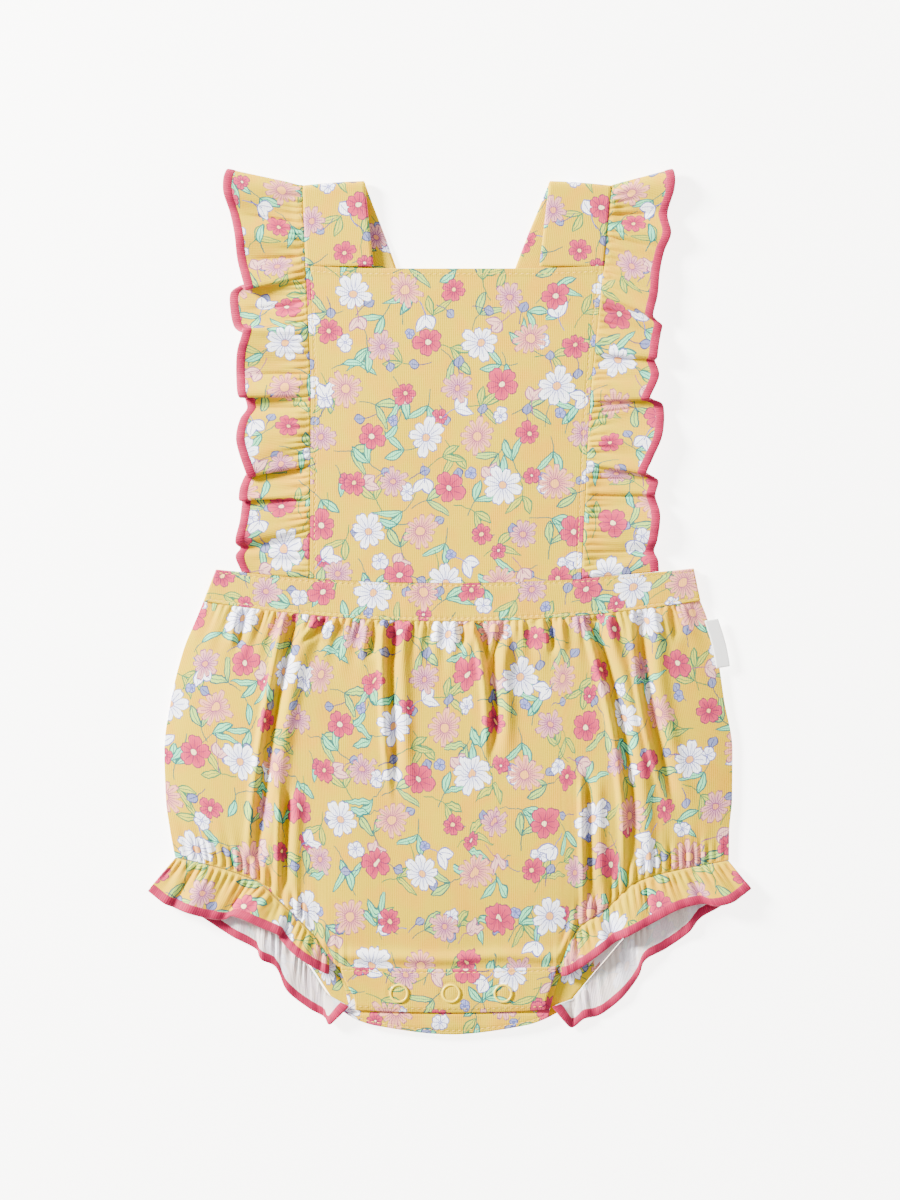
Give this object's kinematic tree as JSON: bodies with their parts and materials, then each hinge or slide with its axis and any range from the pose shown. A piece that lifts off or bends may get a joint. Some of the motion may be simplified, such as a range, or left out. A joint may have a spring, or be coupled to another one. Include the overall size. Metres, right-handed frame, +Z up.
{
  "type": "baby romper",
  "caption": "Sleeveless baby romper laid flat: square bib, straps that cross behind, ruffled shoulders, banded waist, gathered bloomers with ruffled leg holes and a snapped crotch.",
  "frame": {"origin": "on the table under the middle of the romper's box", "axes": "+Y from the crotch to the shoulders, +Z up out of the front, +X to the viewer's right"},
  "size_m": [0.3018, 0.4333, 0.0093],
  "materials": {
    "floral_knit": "matt cotton knit, yellow, printed with small flowers and leaves",
    "pink_overlock": "dense matt overlock stitching in pink thread",
    "snap_enamel": "pale yellow enamel on pressed steel rings",
    "satin_label": "blank white satin tape"
  },
  "bodies": {
    "root": {"bloomer_back": "floral_knit", "bloomer_front": "floral_knit", "waistband_back": "floral_knit", "waistband_front": "floral_knit", "bib_front": "floral_knit", "strap_left": "floral_knit", "strap_right": "floral_knit", "ruffle_left": "floral_knit", "ruffle_right": "floral_knit", "leg_ruffle_front_left": "floral_knit", "leg_ruffle_front_right": "floral_knit", "leg_ruffle_back_left": "floral_knit", "leg_ruffle_back_right": "floral_knit", "placket_front": "floral_knit", "placket_back": "floral_knit", "ruffle_left_edging": "pink_overlock", "ruffle_right_edging": "pink_overlock", "leg_ruffle_front_left_edging": "pink_overlock", "leg_ruffle_front_right_edging": "pink_overlock", "leg_ruffle_back_left_edging": "pink_overlock", "leg_ruffle_back_right_edging": "pink_overlock", "snap_ring_1": "snap_enamel", "snap_ring_2": "snap_enamel", "snap_ring_3": "snap_enamel", "label_tab": "satin_label"}
  },
  "joints": []
}
